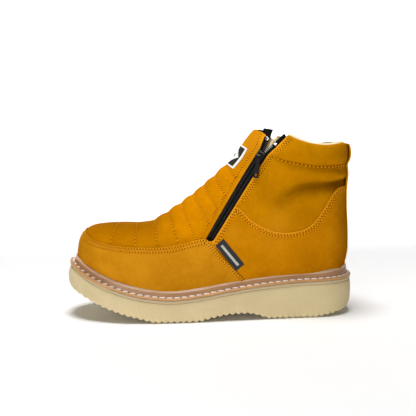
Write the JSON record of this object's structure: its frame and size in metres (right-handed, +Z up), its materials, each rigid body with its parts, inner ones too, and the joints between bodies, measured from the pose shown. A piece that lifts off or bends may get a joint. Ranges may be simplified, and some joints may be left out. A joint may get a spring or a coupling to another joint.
{
  "type": "work shoe",
  "caption": "Ankle-high nubuck work shoe for the left foot: moc toe, quilted front and tongue, side zips, padded collar, stitched welt and rippled wedge sole.",
  "frame": {"origin": "middle of the shoe's box, on the floor it stands on", "axes": "toe along -X and heel along +X, outer side of the left foot along -Y, +Z up"},
  "size_m": [0.306, 0.108, 0.197],
  "materials": {
    "nubuck": "matt honey-coloured nubuck with a short nap",
    "outsole_foam": "matt cream foam rubber",
    "midsole_strip": "matt pale strip, slightly buffed",
    "welt_leather": "smooth tan welt with white stitching",
    "lining": "soft cream lining",
    "zip_tape": "black woven tape",
    "zip_coil": "black coil",
    "zip_metal": "black painted metal, half gloss",
    "patch_cloth": "woven white and black patch",
    "label_cloth": "dark grey woven label"
  },
  "bodies": {
    "boot": {"outsole": "outsole_foam", "midsole": "midsole_strip", "welt": "welt_leather", "insole": "lining", "upper": "nubuck", "vamp": "nubuck", "quarter_lateral": "nubuck", "quarter_medial": "nubuck", "backstay": "nubuck", "zip_tape_front_lateral": "zip_tape", "zip_tape_rear_lateral": "zip_tape", "zip_tape_front_medial": "zip_tape", "zip_tape_rear_medial": "zip_tape", "zip_coil_lateral": "zip_coil", "zip_coil_medial": "zip_coil", "zip_slider_lateral": "zip_metal", "zip_slider_medial": "zip_metal", "tongue_patch": "patch_cloth", "side_label": "label_cloth"},
    "pull_lateral": {"zip_pull_lateral": "zip_metal"},
    "pull_medial": {"zip_pull_medial": "zip_metal"}
  },
  "joints": [
    {"name": "pull_lateral_swing", "type": "hinge", "parent": "boot", "child": "pull_lateral", "pos_m": [0.04738, -0.03024, 0.17009], "axis": [-0.8672, 0.4779, 0.1402], "range_deg": [0, 140]},
    {"name": "pull_medial_swing", "type": "hinge", "parent": "boot", "child": "pull_medial", "pos_m": [0.04738, 0.02996, 0.17007], "axis": [0.8685, 0.4753, -0.1404], "range_deg": [0, 140]}
  ]
}
